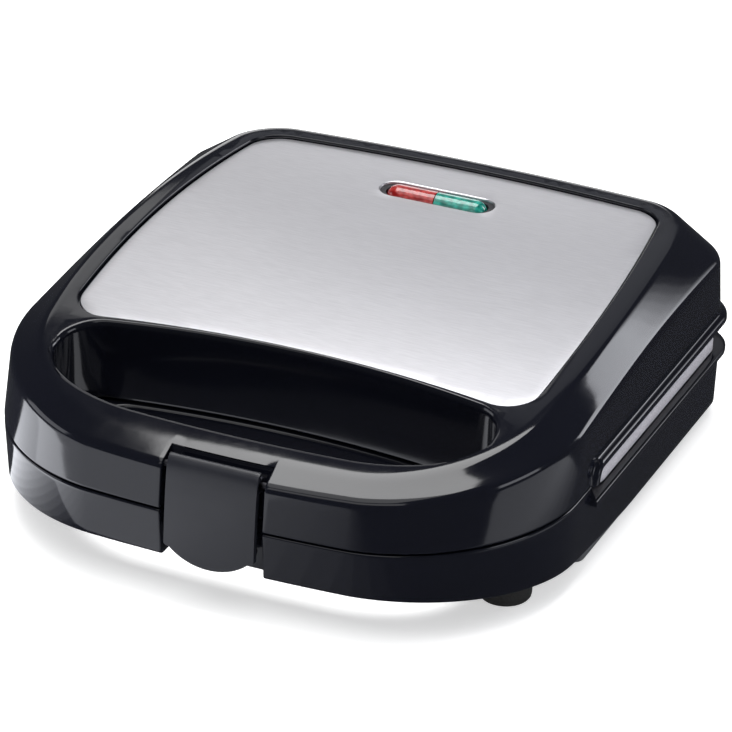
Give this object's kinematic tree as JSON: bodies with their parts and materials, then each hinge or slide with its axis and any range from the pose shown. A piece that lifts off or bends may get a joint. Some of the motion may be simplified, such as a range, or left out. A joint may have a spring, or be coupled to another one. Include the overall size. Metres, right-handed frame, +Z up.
{
  "type": "panini press",
  "caption": "Closed two-slice panini press: gloss black lid and base with a front handle opening, brushed steel top panel, two-colour indicator and a front latch.",
  "frame": {"origin": "on the table under the middle of the press, at the centre of the footprint of its overall box", "axes": "+X to the right as seen from the front handle, +Y from the handle to the hinge, +Z up"},
  "size_m": [0.235, 0.2519, 0.0816],
  "materials": {
    "lid_housing": "gloss",
    "top_panel": "brushed from side to side",
    "lid_inner_frame": "fine texture",
    "upper_grill_plate": "non-stick coating",
    "upper_heating_element": "heat-darkened",
    "upper_reflector": "mill finish",
    "indicator_bezel": "satin",
    "red_lens": "translucent, gloss",
    "green_lens": "translucent, gloss",
    "lamp_holder": "moulded",
    "power_lamp": "clear",
    "ready_lamp": "clear",
    "base_housing": "gloss",
    "bottom_cover": "fine texture",
    "lower_grill_plate": "non-stick coating",
    "lower_heating_element": "heat-darkened",
    "lower_reflector": "mill finish",
    "thermostat": "ceramic body",
    "thermal_fuse": "plated",
    "terminal_block": "ceramic body",
    "cord_gland": "matte",
    "latch": "satin",
    "latch_pin": "drawn",
    "latch_catch": "satin",
    "base_hinge": "satin",
    "lid_hinge": "satin",
    "hinge_pin": "drawn",
    "foot": "matte",
    "cord_rail": "fine texture",
    "terminal": "ceramic body"
  },
  "bodies": {
    "base": {"base_housing": "base_housing", "bottom_cover": "bottom_cover", "lower_grill_plate": "lower_grill_plate", "lower_heating_element": "lower_heating_element", "lower_reflector": "lower_reflector", "thermostat": "thermostat", "thermal_fuse": "thermal_fuse", "terminal_block": "terminal_block", "cord_gland": "cord_gland", "latch_catch": "latch_catch", "base_hinge_left": "base_hinge", "hinge_pin_left": "hinge_pin", "base_hinge_right": "base_hinge", "hinge_pin_right": "hinge_pin", "foot_front_left": "foot", "foot_front_right": "foot", "foot_rear_left": "foot", "foot_rear_right": "foot", "cord_rail_left": "cord_rail", "cord_rail_right": "cord_rail", "lower_terminal_front": "terminal", "lower_terminal_rear": "terminal"},
    "lid": {"lid_housing": "lid_housing", "top_panel": "top_panel", "lid_inner_frame": "lid_inner_frame", "upper_grill_plate": "upper_grill_plate", "upper_heating_element": "upper_heating_element", "upper_reflector": "upper_reflector", "indicator_bezel": "indicator_bezel", "red_lens": "red_lens", "green_lens": "green_lens", "lamp_holder": "lamp_holder", "power_lamp": "power_lamp", "ready_lamp": "ready_lamp", "latch_pin": "latch_pin", "lid_hinge_left": "lid_hinge", "lid_hinge_right": "lid_hinge", "upper_terminal_front": "terminal", "upper_terminal_rear": "terminal"},
    "latch": {"latch": "latch"}
  },
  "joints": [
    {"name": "lid_hinge", "type": "hinge", "parent": "base", "child": "lid", "pos_m": [0, 0.1217, 0.0397], "axis": [-1, 0, 0], "range_deg": [0, 100]},
    {"name": "latch_pivot", "type": "hinge", "parent": "lid", "child": "latch", "pos_m": [0, -0.1186, 0.0536], "axis": [-1, 0, 0], "range_deg": [0, 35]}
  ]
}
